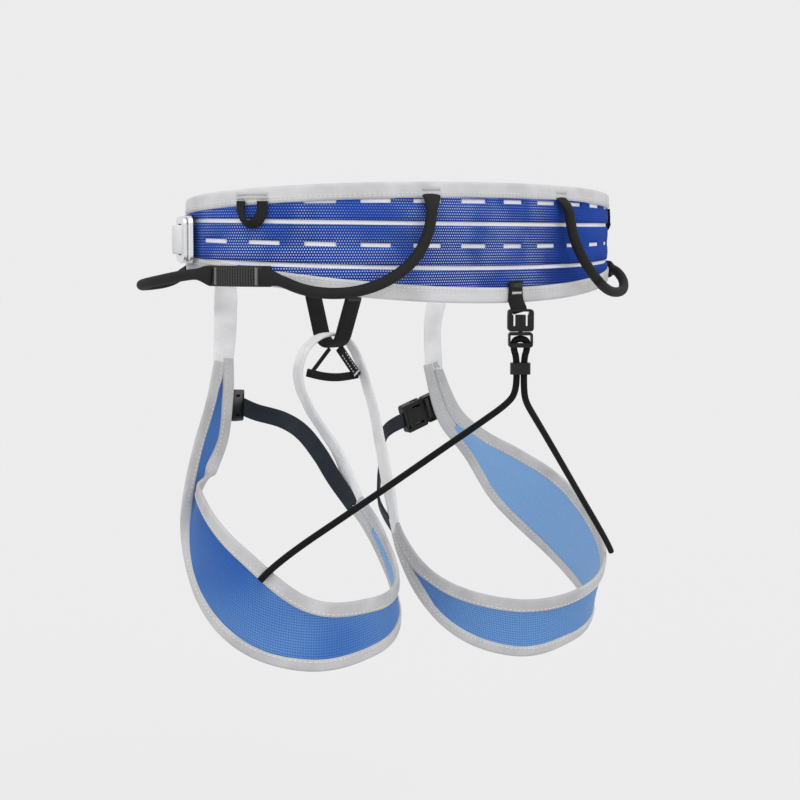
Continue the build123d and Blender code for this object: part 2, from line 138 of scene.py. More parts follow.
# ---- material nodes ----
class Finish:
    """One Principled material, wired node by node. Fabric patterns are in millimetres on the UV map."""

    def __init__(self, name, roughness, **sockets):
        self.material = bpy.data.materials.new(name)
        self.material.use_nodes = True
        self.tree = self.material.node_tree
        self.shader = self.tree.nodes["Principled BSDF"]
        self.set("Roughness", roughness)
        for socket, value in sockets.items():
            self.set(socket.replace("_", " "), value)

    def set(self, socket, value):
        self.feed(self.shader.inputs[socket], value)

    def node(self, kind, **settings):
        made = self.tree.nodes.new("ShaderNode" + kind)
        for key, value in settings.items():
            setattr(made, key, value)
        return made

    def feed(self, socket, value):
        if isinstance(value, bpy.types.NodeSocket):
            self.tree.links.new(value, socket)
        else:
            socket.default_value = value

    def math(self, operation, *values):
        made = self.node("Math", operation=operation)
        for socket, value in zip(made.inputs, values):
            self.feed(socket, value)
        return made.outputs[0]

    def uv(self):
        """The place on the cloth: along it and across it, in millimetres."""
        split = self.node("SeparateXYZ")
        self.feed(split.inputs[0], self.node("UVMap", uv_map="cloth").outputs[0])
        return split.outputs[0], split.outputs[1]

    def place(self):
        """The place in space, in metres."""
        return self.node("TexCoord").outputs["Object"]

    def noise(self, scale, detail=2.0, vector=None):
        made = self.node("TexNoise")
        made.inputs["Scale"].default_value = scale
        made.inputs["Detail"].default_value = detail
        self.feed(made.inputs["Vector"], self.place() if vector is None else vector)
        return made.outputs["Fac"]

    def span(self, value, low, high, out_low=0.0, out_high=1.0):
        made = self.node("MapRange", interpolation_type="SMOOTHSTEP")
        for socket, number in zip(made.inputs, (value, low, high, out_low, out_high)):
            self.feed(socket, number)
        return made.outputs[0]

    def mix(self, factor, a, b):
        made = self.node("Mix", data_type="RGBA")
        self.feed(made.inputs[0], factor)
        for socket, colour in ((made.inputs[6], a), (made.inputs[7], b)):
            self.feed(socket, colour if isinstance(colour, bpy.types.NodeSocket) else (*colour, 1))
        return made.outputs[2]

    def wave(self, value, pitch, phase=0.0):
        """Even wave along a value, from 0 to 1."""
        turns = self.math("MULTIPLY_ADD", value, 2 * math.pi / pitch, phase)
        return self.math("MULTIPLY_ADD", self.math("SINE", turns), 0.5, 0.5)

    def bump(self, height, depth):
        """Relief: depth is in millimetres."""
        made = self.node("Bump")
        made.inputs["Distance"].default_value = depth * MM
        self.feed(made.inputs["Height"], height)
        self.set("Normal", made.outputs[0])


def dots(finish, along, across, pitch, size):
    """1 in a staggered grid of small holes, 0 between them, and the distance from the nearest hole."""
    row = finish.math("FLOOR", finish.math("DIVIDE", across, pitch))
    shifted = finish.math("ADD", finish.math("DIVIDE", along, pitch), finish.math("MULTIPLY", row, 0.5))
    x = finish.math("SUBTRACT", finish.math("FRACT", shifted), 0.5)
    y = finish.math("SUBTRACT", finish.math("FRACT", finish.math("DIVIDE", across, pitch)), 0.5)
    square = finish.math("ADD", finish.math("MULTIPLY", x, x), finish.math("MULTIPLY", y, y))
    far = finish.math("SQRT", square)
    return finish.span(far, size, size * 0.55), far


def belt_mesh_finish():
    """Royal blue open mesh in crosswise ribs, with the pale lining showing through its holes."""
    finish = Finish("belt_mesh", 0.8, Specular_IOR_Level=0.12)
    along, across = finish.uv()
    hole, far = dots(finish, along, across, MESH_PITCH, 0.31)
    open_part = finish.span(along, -52, -12, 0.0, 1.0)
    front_part = finish.span(along, -150, -190, 0.0, 1.0)
    patchy = finish.span(finish.noise(26, 2), 0.36, 0.58, 0.28, 1.0)
    strength = finish.math("MULTIPLY", finish.math("MAXIMUM", open_part, front_part), patchy)
    ribs = finish.wave(across, MESH_PITCH)
    yarn = finish.mix(ribs, (0.002, 0.016, 0.11), (0.005, 0.040, 0.30))
    worn = finish.mix(finish.span(finish.noise(9, 3), 0.35, 0.7), yarn, (0.009, 0.060, 0.37))
    shown = finish.math("MULTIPLY", hole, finish.math("MULTIPLY", strength, 0.72))
    finish.set("Base Color", finish.mix(shown, worn, (0.72, 0.76, 0.86)))
    finish.bump(finish.math("ADD", finish.span(far, 0.1, 0.4), finish.math("MULTIPLY", ribs, 0.35)), 0.35)
    return finish.material


def leg_mesh_finish():
    """Lighter blue honeycomb mesh with a silky bloom. Its colour carries painted sheen, in pale patches laid
    at random and on the face towards the thigh, which is painted paler, and painted shade in its dimples.
    """
    finish = Finish("leg_mesh", 0.6, Sheen_Weight=0.12, Sheen_Roughness=0.35, Specular_IOR_Level=0.25)
    finish.set("Sheen Tint", (0.62, 0.78, 1.0, 1))
    along, across = finish.uv()
    slant = finish.math("MULTIPLY_ADD", across, 0.45, along)
    hole, far = dots(finish, slant, across, MESH_PITCH, 0.40)
    # patches at random between a deep and a pale blue: the pale patches are painted sheen
    cloudy = finish.span(finish.noise(7, 2), 0.34, 0.66)
    base = finish.mix(cloudy, (0.016, 0.100, 0.38), (0.115, 0.265, 0.54))
    # painted sheen: the face towards the thigh, shifted by FACE_SHIFT, is painted paler
    inner = finish.span(across, 0.4 * FACE_SHIFT, 0.6 * FACE_SHIFT)
    base = finish.mix(finish.math("MULTIPLY", inner, 0.85), base, (0.24, 0.43, 0.72))
    # the dimples are painted darker than the cloth round them: painted shade in them
    dark = finish.mix(inner, (0.006, 0.050, 0.32), (0.14, 0.30, 0.62))
    finish.set("Base Color", finish.mix(finish.math("MULTIPLY", hole, 0.55), base, dark))
    finish.set("Roughness", finish.span(cloudy, 0, 1, 0.68, 0.5))
    finish.bump(finish.span(far, 0.1, 0.45), 0.3)
    return finish.material


def tape_finish(name, light, dark, pitch, sheen=0.08):
    """Narrow woven tape: fine ribs across it, twisted yarn, and soiling where it is handled."""
    finish = Finish(name, 0.85, Sheen_Weight=sheen, Sheen_Roughness=0.5, Specular_IOR_Level=0.2)
    along, across = finish.uv()
    rib = finish.wave(along, pitch)
    zigzag = finish.wave(finish.math("ADD", along, finish.math("PINGPONG", across, 1.6)), pitch * 1.6)
    relief = finish.math("ADD", finish.math("MULTIPLY", rib, 0.5), finish.math("MULTIPLY", zigzag, 0.6))
    fibre = finish.noise(900, 3)
    cloudy = finish.span(finish.noise(34, 3), 0.36, 0.68)
    tone = finish.math("MULTIPLY_ADD", cloudy, 0.55, finish.math("MULTIPLY", relief, 0.3))
    finish.set("Base Color", finish.mix(tone, light, dark))
    finish.bump(finish.math("MULTIPLY_ADD", fibre, 0.5, relief), 0.16)
    return finish.material


def webbing_finish(name, light, dark, pitch, sheen=0.03, speck=None):
    """Flat webbing in a herringbone weave."""
    finish = Finish(name, 0.75, Sheen_Weight=sheen, Sheen_Roughness=0.4, Specular_IOR_Level=0.2)
    along, across = finish.uv()
    ply = finish.math("PINGPONG", across, 3.2)
    twill = finish.wave(finish.math("ADD", along, ply), pitch)
    cords = finish.wave(across, pitch * 1.1)
    relief = finish.math("ADD", finish.math("MULTIPLY", twill, 0.7), finish.math("MULTIPLY", cords, 0.4))
    worn = finish.span(finish.noise(40, 3), 0.4, 0.7, 0.0, 0.35)
    tone = finish.math("ADD", finish.math("MULTIPLY", relief, 0.55), worn)
    colour = finish.mix(tone, dark, light)
    if speck:
        hole, _ = dots(finish, along, across, 1.3, 0.34)
        colour = finish.mix(finish.math("MULTIPLY", hole, 0.45), colour, speck)
    finish.set("Base Color", colour)
    finish.bump(relief, 0.2)
    return finish.material


def ribbed_finish():
    """Webbing woven in upright ribs, with a painted highlight: paler along their crests."""
    finish = Finish("ribbed_webbing", 0.7, Specular_IOR_Level=0.25)
    along, across = finish.uv()
    # painted highlight: the crests of the ribs are painted paler
    crest = finish.math("POWER", finish.wave(along, RIB_PITCH, -math.pi / 2), 1.6)
    weave = finish.wave(across, 0.9)
    tone = finish.math("MULTIPLY_ADD", crest, 0.8, finish.math("MULTIPLY", weave, 0.2))
    finish.set("Base Color", finish.mix(tone, (0.004, 0.004, 0.0045), (0.060, 0.060, 0.062)))
    finish.bump(weave, 0.15)
    return finish.material


def braid_finish(name, light, dark, pitch):
    """Braided sleeve of a round cord."""
    finish = Finish(name, 0.65, Specular_IOR_Level=0.12)
    along, around = finish.uv()
    right = finish.wave(finish.math("ADD", along, around), pitch)
    left = finish.wave(finish.math("SUBTRACT", along, around), pitch)
    relief = finish.math("MAXIMUM", right, left)
    finish.set("Base Color", finish.mix(relief, dark, light))
    finish.bump(relief, 0.25)
    return finish.material


def plastic_finish():
    """Moulded acetal with a fine spark-eroded grain."""
    finish = Finish("black_plastic", 0.42, Specular_IOR_Level=0.3)
    grain = finish.noise(2600, 2)
    scuff = finish.span(finish.noise(90, 4), 0.5, 0.75)
    finish.set("Base Color", finish.mix(scuff, (0.004, 0.004, 0.0045), (0.011, 0.011, 0.012)))
    finish.set("Roughness", finish.span(scuff, 0, 1, 0.38, 0.55))
    finish.bump(grain, 0.03)
    return finish.material


def metal_finish():
    """Satin anodised aluminium, lightly brushed along the bar."""
    finish = Finish("buckle_metal", 0.35, Metallic=1.0)
    stretch = finish.node("Mapping")
    stretch.inputs["Scale"].default_value = (60, 60, 900)
    finish.feed(stretch.inputs[0], finish.place())
    brushed = finish.noise(6, 3, stretch.outputs[0])
    finish.set("Base Color", finish.mix(brushed, (0.74, 0.75, 0.76), (0.88, 0.88, 0.89)))
    finish.set("Roughness", finish.span(brushed, 0.3, 0.7, 0.28, 0.42))
    finish.bump(brushed, 0.02)
    return finish.material


def thread_finish(name, light, dark):
    """Twisted sewing thread."""
    finish = Finish(name, 0.6, Sheen_Weight=0.2)
    along, around = finish.uv()
    twist = finish.wave(finish.math("ADD", along, around), 0.45)
    finish.set("Base Color", finish.mix(twist, dark, light))
    finish.bump(twist, 0.08)
    return finish.material


FINISHES = {
    "belt_mesh": belt_mesh_finish(),
    "leg_mesh": leg_mesh_finish(),
    "belt_liner": tape_finish("belt_liner", (0.93, 0.93, 0.94), (0.82, 0.82, 0.84), 1.4),
    "edge_binding": tape_finish("edge_binding", (0.63, 0.63, 0.64), (0.43, 0.43, 0.44), 0.95),
    # darker copy of edge_binding for the leg tapes: painted shade, as these tapes lie in shade
    "leg_binding_shaded": tape_finish("leg_binding_shaded", (0.53, 0.53, 0.54), (0.36, 0.36, 0.37), 0.95),
    "white_webbing": tape_finish("white_webbing", (0.78, 0.78, 0.79), (0.56, 0.56, 0.57), 1.2),
    "black_webbing": webbing_finish("black_webbing", (0.016, 0.016, 0.017), (0.004, 0.004, 0.0045), 1.1),
    "ribbed_webbing": ribbed_finish(),
    "slate_webbing": webbing_finish("slate_webbing", (0.026, 0.034, 0.045), (0.005, 0.007, 0.012), 1.1, 0.04,
                                    (0.06, 0.075, 0.09)),
    "gear_loop_tube": braid_finish("gear_loop_tube", (0.022, 0.022, 0.022), (0.007, 0.007, 0.0075), 1.5),
    "elastic_cord": braid_finish("elastic_cord", (0.007, 0.007, 0.0075), (0.002, 0.002, 0.0025), 1.1),
    "keeper_elastic": webbing_finish("keeper_elastic", (0.05, 0.05, 0.052), (0.016, 0.016, 0.018), 0.9),
    "black_plastic": plastic_finish(),
    "buckle_metal": metal_finish(),
    "white_thread": thread_finish("white_thread", (0.86, 0.86, 0.86), (0.55, 0.55, 0.56)),
    "pale_thread": thread_finish("pale_thread", (0.66, 0.66, 0.67), (0.44, 0.44, 0.45)),
    "grey_thread": thread_finish("grey_thread", (0.26, 0.26, 0.27), (0.13, 0.13, 0.135)),
    "black_thread": thread_finish("black_thread", (0.022, 0.022, 0.024), (0.006, 0.006, 0.007)),
}


# ---- mesh helpers ----
class Cloth:
    """Points, faces and cloth coordinates of one piece, in millimetres."""

    def __init__(self):
        self.points, self.faces, self.coords = [], [], []

    def point(self, place):
        self.points.append(Vector(place))
        return len(self.points) - 1

    def face(self, corners, coords):
        self.faces.append(corners)
        self.coords.append(coords)

    def finish(self, name, slot, rides=None, replaces=()):
        mesh = bpy.data.meshes.new(name)
        mesh.from_pydata([p * MM for p in self.points], [], self.faces)
        layer = mesh.uv_layers.new(name="cloth")
        flat = [value for coords in self.coords for pair in coords for value in pair]
        layer.data.foreach_set("uv", flat)
        mesh.materials.append(FINISHES[slot])
        work = bmesh.new()
        work.from_mesh(mesh)
        bmesh.ops.recalc_face_normals(work, faces=work.faces)
        work.to_mesh(mesh)
        work.free()
        mesh.polygons.foreach_set("use_smooth", [True] * len(mesh.polygons))
        piece = new_object(name, mesh)
        if replaces:
            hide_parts(*replaces)
        if rides:
            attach(piece, rides)
        return piece


def smooth(stations, share):
    """Values at a share of the way along a list of stations, without corners."""
    place = share * (len(stations) - 1)
    k = min(int(place), len(stations) - 2)
    t = place - k
    before, a, b, after = (stations[min(max(k + step, 0), len(stations) - 1)] for step in (-1, 0, 1, 2))
    return [
        0.5 * (2 * q + (r - p) * t + (2 * p - 5 * q + 4 * r - s) * t * t + (3 * q - p - 3 * r + s) * t ** 3)
        for p, q, r, s in zip(before, a, b, after)
    ]


def along_lengths(points, closed=False):
    """How far along the line each point lies, and the whole length last if the line is closed."""
    lengths = [0.0]
    ring = [*points, points[0]] if closed else points
    for a, b in zip(ring, ring[1:]):
        lengths.append(lengths[-1] + (b - a).length)
    return lengths


def travel(points, closed=False):
    """Direction of travel at each point."""
    count = len(points)
    if closed:
        return [(points[(k + 1) % count] - points[k - 1]).normalized() for k in range(count)]
    return [(points[min(k + 1, count - 1)] - points[max(k - 1, 0)]).normalized() for k in range(count)]


def flat_section(width, thick, crown=0.0, groove=0.0, steps=6):
    """Outline of a flat strap as (across, out) pairs; a groove runs down its middle on both faces."""
    edge = thick / 2
    half = width / 2 - edge
    face = []
    for k in range(steps + 1):
        share = 1 - 2 * k / steps
        face.append((half * share, edge + crown * (1 - share ** 2) - groove * max(0.0, 1 - abs(share) * 3)))
    turn = [math.radians(a) for a in (120, 150, 180, 210, 240)]
    left = [(-half + edge * math.cos(a), edge * math.sin(a)) for a in turn]
    under = [(-a, -n) for a, n in face]
    right = [(-a, -n) for a, n in left]
    return [*face, *left, *under, *right]


def round_section(wide, deep, steps=14):
    """Outline of a cord: wide and deep are its two half-axes."""
    return [(wide * math.cos(2 * math.pi * k / steps), deep * math.sin(2 * math.pi * k / steps))
            for k in range(steps)]


def sweep(cloth, centres, acrosses, sections, closed=False, wobble=0.0, by_rim=False):
    """Skin through a section at every centre. by_rim counts the cloth's width round the section."""
    ways = travel(centres, closed)
    lengths = along_lengths(centres, closed)
    rings, rims = [], []
    for centre, way, across, outline in zip(centres, ways, acrosses, sections):
        across = (across - way * across.dot(way)).normalized()
        out = way.cross(across)
        shift = wobble * noise.noise(centre * 0.09) if wobble else 0.0
        rings.append([cloth.point(centre + across * a + out * (n + shift)) for a, n in outline])
        rim = [0.0]
        ring = [*outline, outline[0]]
        for (a, n), (c, m) in zip(ring, ring[1:]):
            rim.append(rim[-1] + math.hypot(c - a, m - n))
        rims.append(rim)
    size = len(rings[0])
    last = len(rings) if closed else len(rings) - 1
    for i in range(last):
        j = (i + 1) % len(rings)
        for k in range(size):
            m = (k + 1) % size
            if by_rim:
                low, high = rims[i][k], rims[i][k + 1]
            else:
                low, high = sections[i][k][0], sections[i][m][0]
            coords = [(lengths[i], low), (lengths[i], high), (lengths[i + 1], high), (lengths[i + 1], low)]
            cloth.face((rings[i][k], rings[i][m], rings[j][m], rings[j][k]), coords)
    if not closed:
        ends = ((rings[0], sections[0], lengths[0]), (rings[-1], sections[-1], lengths[-1]))
        for ring, outline, length in ends:
            cloth.face(tuple(ring), [(length, a) for a, _ in outline])


def shell(cloth, rows, outs, thick, coords, is_hole=None, face_shift=0.0):
    """Sheet with real thickness through a grid of points, open where is_hole says so.

    face_shift moves the face that outs points out of, so that its colour can differ: the leg mesh paints
    sheen on that face."""
    high, low = [], []
    for row, normals in zip(rows, outs):
        high.append([cloth.point(p + n * thick / 2) for p, n in zip(row, normals)])
        low.append([cloth.point(p - n * thick / 2) for p, n in zip(row, normals)])
    count_i, count_j = len(rows) - 1, len(rows[0]) - 1
    filled = {(i, j) for i in range(count_i) for j in range(count_j) if not (is_hole and is_hole(i, j))}
    for i, j in sorted(filled):
        ring = ((i, j), (i + 1, j), (i + 1, j + 1), (i, j + 1))
        spots = [coords[a][b] for a, b in ring]
        shifted = [(along, across + face_shift) for along, across in spots]
        cloth.face([high[a][b] for a, b in ring], shifted)
        cloth.face([low[a][b] for a, b in reversed(ring)], spots[::-1])
        for (a, b), (c, d), beside in (
            (ring[0], ring[1], (i, j - 1)), (ring[1], ring[2], (i + 1, j)),
            (ring[2], ring[3], (i, j + 1)), (ring[3], ring[0], (i - 1, j)),
        ):
            if beside not in filled:
                wall = (high[a][b], low[a][b], low[c][d], high[c][d])
                cloth.face(wall, [coords[a][b], coords[a][b], coords[c][d], coords[c][d]])


def strap(name, slot, stations, thick, rides=None, replaces=(), count=60, groove=0.0, wobble=0.3):
    """Webbing through stations of (x, y, z, across x, across y, across z, width)."""
    sampled = [smooth(stations, k / count) for k in range(count + 1)]
    centres = [Vector(s[:3]) for s in sampled]
    acrosses = [Vector(s[3:6]) for s in sampled]
    sections = [flat_section(s[6], thick, 0.15, groove) for s in sampled]
    cloth = Cloth()
    sweep(cloth, centres, acrosses, sections, wobble=wobble)
    return cloth.finish(name, slot, rides, replaces)


def route(points, resolution=10):
    """Points read from the smooth curve that a cord follows."""
    curve = bpy.data.curves.new("route", "CURVE")
    curve.dimensions = "3D"
    curve.resolution_u = resolution
    spline = curve.splines.new("NURBS")
    spline.points.add(len(points) - 1)
    for target, point in zip(spline.points, points):
        target.co = (*point, 1)
    spline.order_u = 3
    spline.use_endpoint_u = True
    holder = new_object("route", curve)
    line = bpy.data.meshes.new_from_object(holder)
    found = [v.co.copy() for v in line.vertices]
    bpy.data.objects.remove(holder)
    bpy.data.meshes.remove(line)
    bpy.data.curves.remove(curve)
    return found


# ---- stitching ----
THREAD = 0.32  # half the thickness of the sewing thread
THREAD_SIDE = 0.3  # width of each of a stitch's six sides


def stitch(cloth, a, b, out, radius=THREAD):
    """One stitch from a to b, standing out of the cloth in the middle and sunk at its ends."""
    way = (b - a).normalized()
    side = way.cross(out).normalized()
    rings = []
    for share, lift, size in ((0.0, -0.7, 0.5), (0.2, 0.25, 1.0), (0.8, 0.25, 1.0), (1.0, -0.7, 0.5)):
        centre = a.lerp(b, share) + out * (lift * radius)
        ring = []
        for k in range(6):
            turn = math.pi * k / 3
            ring.append(cloth.point(centre + (side * math.cos(turn) + out * math.sin(turn)) * radius * size))
        rings.append(ring)
    length = (b - a).length
    for i, (low, high) in enumerate(zip(rings, rings[1:])):
        near, far = length * i / 3, length * (i + 1) / 3
        for k in range(6):
            m = (k + 1) % 6
            left, right = k * THREAD_SIDE, k * THREAD_SIDE + THREAD_SIDE
            spots = [(near, left), (near, right), (far, right), (far, left)]
            cloth.face((low[k], low[m], high[m], high[k]), spots)
    for ring in (rings[0], rings[-1]):
        cloth.face(tuple(ring), [(0, k * THREAD_SIDE) for k in range(6)])


def stitch_row(cloth, points, outs, stitch_length=2.3, gap=0.9):
    """Running stitches along a line of points on the cloth."""
    lengths = along_lengths(points)
    spots = np.array([(*p, *n) for p, n in zip(points, outs)])

    def at(s):
        found = [float(np.interp(s, lengths, spots[:, k])) for k in range(6)]
        return Vector(found[:3]), Vector(found[3:]).normalized()

    start = gap
    while start + stitch_length < lengths[-1]:
        a, out = at(start)
        b, _ = at(start + stitch_length)
        stitch(cloth, a, b, out)
        start += stitch_length + gap


def bartack(cloth, centre, along, out, length, width, pitch=0.55):
    """Dense zigzag of thread: length is along it, width is the zigzag's own."""
    along = (along - out * along.dot(out)).normalized()
    side = out.cross(along)
    steps = max(3, int(length / pitch))
    spots = []
    for k in range(steps + 1):
        sway = width / 2 if k % 2 else -width / 2
        spots.append(centre + along * (length * (k / steps - 0.5)) + side * sway)
    for a, b in zip(spots, spots[1:]):
        stitch(cloth, a, b, out, THREAD * 0.95)


THREADS = {}


def threads(colour, body):
    """The one mesh that holds all the stitching of a colour on a body."""
    return THREADS.setdefault((colour, body), Cloth())


# ---- waist belt ----
belt_low, belt_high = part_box("belt_mesh_panel")
WAIST_X, WAIST_Y = belt_high.x / MM, belt_high.y / MM
BELT_FRONT_Y = belt_low.y / MM
BELT_EDGE_Y = (BELT_FRONT_Y, 20.0, WAIST_Y)
BELT_TOP_Z, BELT_BOTTOM_Z = (24.7, 30.15, 37.0), (-20.5, -25.0, -41.5)
BINDING_TALL, BINDING_THICK, BINDING_OUT = 10.5, 3.5, -1.0
BINDING_FACE = BINDING_OUT + BINDING_THICK / 2
PANEL_THICK, LINER_THICK, LINER_OUT = 1.2, 0.9, -1.95
PANEL_INSET, LINER_INSET = BINDING_TALL - 1.5, 3  # how far the sheets stay inside the belt's edges
STRIP_ROWS = 4  # rows of the mesh's grid between two slits
SLITS = (  # (heights at the belt's three stations, rearward of y, broken)
    ((-12.5, -14.0, -18.4), -8, False), ((0.5, -1.0, -4.3), -30, True),
    ((12.5, 11.6, 10.0), -34, False), ((21.0, 22.3, 24.5), 60, True),
)
SLIT_HALF = 1.3
DASH_LENGTH, DASH_PITCH = 20.0, 35.0
STEP = 2.5  # spacing of the cloth's grid along the belt


def waist_point(angle, out=0.0, z=0.0):
    """Point on the waist line, angle in degrees from the back towards the wearer's left."""
    a = math.radians(angle)
    return Vector(((WAIST_X + out) * math.sin(a), (WAIST_Y + out) * math.cos(a), z))


def waist_normal(angle):
    a = math.radians(angle)
    return Vector((math.sin(a) / WAIST_X, math.cos(a) / WAIST_Y, 0)).normalized()


def waist_along(angle):
    """Level direction along the belt, towards the wearer's left at the back."""
    return waist_normal(angle).cross(up)


WAIST_ANGLES = np.arange(-250.0, 250.5, 0.5)
WAIST_LENGTHS = np.array(along_lengths([waist_point(a) for a in WAIST_ANGLES]))
WAIST_LENGTHS -= np.interp(0.0, WAIST_ANGLES, WAIST_LENGTHS)


def angle_at(distance):
    """Angle of the point that lies so far along the belt from the middle of the back."""
    return float(np.interp(distance, WAIST_LENGTHS, WAIST_ANGLES))


def distance_at(angle):
    return float(np.interp(angle, WAIST_ANGLES, WAIST_LENGTHS))


def belt_z(angle, share, shift=0.0):
    """Height at a share of the belt's own height."""
    low, high = (line_z(angle, heights) for heights in (BELT_BOTTOM_Z, BELT_TOP_Z))
    return low + (high - low) * share + shift


def line_z(angle, heights):
    """Height of a line along the belt: a parabola through its heights at the three stations."""
    return float(np.polyval(np.polyfit(BELT_EDGE_Y, heights, 2), WAIST_Y * math.cos(math.radians(angle))))


BELT_END = math.degrees(math.acos(BELT_FRONT_Y / WAIST_Y))
BELT_REACH = distance_at(BELT_END)


def belt_steps(reach, step=STEP):
    """Angles at even distances along the belt, both ways from the back."""
    count = int(2 * reach / step)
    return [angle_at(-reach + 2 * reach * k / count) for k in range(count + 1)]


def panel_levels(angle):
    """Heights of the mesh's rows at an angle, with a crown between the slits, from bottom to top."""
    low, high = belt_z(angle, 0, PANEL_INSET), belt_z(angle, 1, -PANEL_INSET)
    edges = [low]
    for heights, _, _ in SLITS:
        middle = line_z(angle, heights)
        edges += [middle - SLIT_HALF, middle + SLIT_HALF]
    edges.append(high)
    last = len(edges) - 1
    edges = [min(max(z, low + 0.2 * k), high - 0.2 * (last - k)) for k, z in enumerate(edges)]
    levels = [(edges[0], 0.0)]
    for index, (below, above) in enumerate(zip(edges, edges[1:])):
        rows = 1 if index % 2 else STRIP_ROWS
        for k in range(1, rows + 1):
            t = k / rows
            crown = 0.0 if index % 2 else 0.55 * (1 - (2 * t - 1) ** 2)
            levels.append((below + (above - below) * t, crown))
    return levels


def make_belt_panel():
    slit_rows = {STRIP_ROWS + k * (STRIP_ROWS + 1): slit for k, slit in enumerate(SLITS)}
    angles = belt_steps(BELT_REACH)
    rows, outs, coords = [], [], []
    for angle in angles:
        distance = distance_at(angle)
        levels = panel_levels(angle)
        row = []
        for z, crown in levels:
            ripple = 0.35 * noise.noise(Vector((distance * 0.03, z * 0.08, 1.5)))
            row.append(waist_point(angle, crown + ripple - PANEL_THICK / 2 - 0.35, z))
        rows.append(row)
        outs.append([waist_normal(angle)] * len(levels))
        coords.append([(distance, z) for z, _ in levels])

    def is_hole(i, j):
        if j not in slit_rows:
            return False
        _, first_y, broken = slit_rows[j]
        if WAIST_Y * math.cos(math.radians(angles[i])) < first_y:
            return False
        place = distance_at(angles[i]) + STEP / 2
        return not broken or abs((place + DASH_PITCH / 2) % DASH_PITCH - DASH_PITCH / 2) < DASH_LENGTH / 2

    cloth = Cloth()
    shell(cloth, rows, outs, PANEL_THICK, coords, is_hole)
    panel = cloth.finish("belt_mesh", "belt_mesh", "root", ["belt_mesh_panel"])
    tall = belt_z(0, 1, -PANEL_INSET) - belt_z(0, 0, PANEL_INSET)


def make_liner():
    angles = belt_steps(BELT_REACH)
    shares = [k / 10 for k in range(11)]
    rows, outs, coords = [], [], []
    for angle in angles:
        zs = [belt_z(angle, share, LINER_INSET - 2 * LINER_INSET * share) for share in shares]
        rows.append([waist_point(angle, LINER_OUT, z) for z in zs])
        outs.append([waist_normal(angle)] * len(zs))
        coords.append([(distance_at(angle), z) for z in zs])
    cloth = Cloth()
    shell(cloth, rows, outs, LINER_THICK, coords)
    liner = cloth.finish("belt_lining", "belt_liner", "root", ["belt_liner"])
    tall = belt_z(0, 1, -LINER_INSET) - belt_z(0, 0, LINER_INSET)


def make_belt_bindings():
    """Tape folded over the belt's edges, each with a row of stitches near its inner edge."""
    angles = belt_steps(BELT_REACH)
    for name, share, inward in (("top", 1.0, -1), ("bottom", 0.0, 1)):
        cloth = Cloth()
        centres = [waist_point(a, BINDING_OUT, belt_z(a, share, inward * BINDING_TALL / 2)) for a in angles]
        sections = []
        for angle in angles:
            pucker = 0.22 * noise.noise(Vector((distance_at(angle) * 0.11, share * 9, 0)))
            sections.append(flat_section(BINDING_TALL, BINDING_THICK + pucker, 0.1))
        sweep(cloth, centres, [up] * len(centres), sections)
        cloth.finish(f"belt_{name}_tape", "edge_binding", "root", [f"belt_{name}_binding"])
        for level in (2.0, 3.4):
            seam = [waist_point(a, BINDING_FACE + 0.12, belt_z(a, share, inward * (BINDING_TALL - level)))
                    for a in angles]
            stitch_row(threads("white_thread", "root"), seam, [waist_normal(a) for a in angles], 1.9, 1.2)


# ---- front closure ----
STRAP_TALL, STRAP_THICK = 19.0, 2.0
TAIL_OUT = 5.6
TAIL_KEEPER_ANGLE = 163.0


def waist_strap(name, slot, stops, tall, thick, replaces=(), z=0.0, count=70):
    """Webbing on edge round the waist; stops are (angle, how far out)."""
    cloth = Cloth()
    sampled = [smooth(stops, k / count) for k in range(count + 1)]
    centres = [waist_point(angle, out, z) for angle, out in sampled]
    section = flat_section(tall, thick, 0.1)
    sweep(cloth, centres, [up] * len(centres), [section] * len(centres))
    return cloth.finish(name, slot, "root", replaces)


def make_closure():
    """Webbing over the front gap, its tail doubled back from the buckle, and the tabs on the belt's ends."""
    front = 360 - BELT_END
    sweep_stops = [(BELT_END + 0.5 + (front - BELT_END - 1) * k / 8, -1.2) for k in range(9)]
    waist_strap("waist_belt_webbing", "white_webbing", sweep_stops, STRAP_TALL, STRAP_THICK,
                ["waist_webbing"])
    tail_stops = [(96.5, 6.4), (98, 9.3), (101, 10.5), (105, 9.5), (111, TAIL_OUT), (125, TAIL_OUT),
                  (140, TAIL_OUT), (155, TAIL_OUT), (169.5, TAIL_OUT)]
    feed_stops = [(122, -1.0), (118.5, 1.0), (115, 2.6), (110, 2.9), (103, 3.4)]
    waist_strap("waist_belt_feed", "white_webbing", feed_stops, STRAP_TALL - 0.4, 1.8, count=24)
    waist_strap("waist_belt_tail", "white_webbing", tail_stops, STRAP_TALL - 0.6, 1.7,
                ["waist_webbing_tail"])
    waist_strap("waist_tail_hem", "white_webbing", [(164.5, TAIL_OUT - 1.7), (170.2, TAIL_OUT - 1.7)],
                STRAP_TALL - 0.6, 1.4, count=6)
    for side, sign in SIDES.items():
        tab = [(sign * 95.9, 1.9), (sign * 100.3, 2.2), (sign * 104.7, 2.0)]
        waist_strap(f"belt_end_patch_{side}", "black_webbing", tab, 29, 1.3,
                    [f"belt_end_tab_{side}"], 1.0, 12)
        out = waist_normal(sign * 100)
        for angle in (97, 103.6):
            spot = waist_point(sign * angle, 3.0, 1)
            bartack(threads("black_thread", "root"), spot, up, out, 24, 1.8)


def make_keeper():
    """Elastic keeper round the strap and its tail."""
    low, high = (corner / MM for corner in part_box("webbing_keeper"))
    deep, tall = 10.8, (high - low).z - 0.8
    out, along = waist_normal(TAIL_KEEPER_ANGLE), waist_along(TAIL_KEEPER_ANGLE)
    middle = waist_point(TAIL_KEEPER_ANGLE, 2.2)
    cloth = Cloth()
    centres = [middle + out * x + up * z for x, z in rounded_box(deep, tall, 2.0)]
    sweep(cloth, centres, [along] * len(centres), [flat_section(10, 1.2)] * len(centres), closed=True)
    cloth.finish("tail_keeper", "keeper_elastic", "webbing_keeper", ["webbing_keeper"])


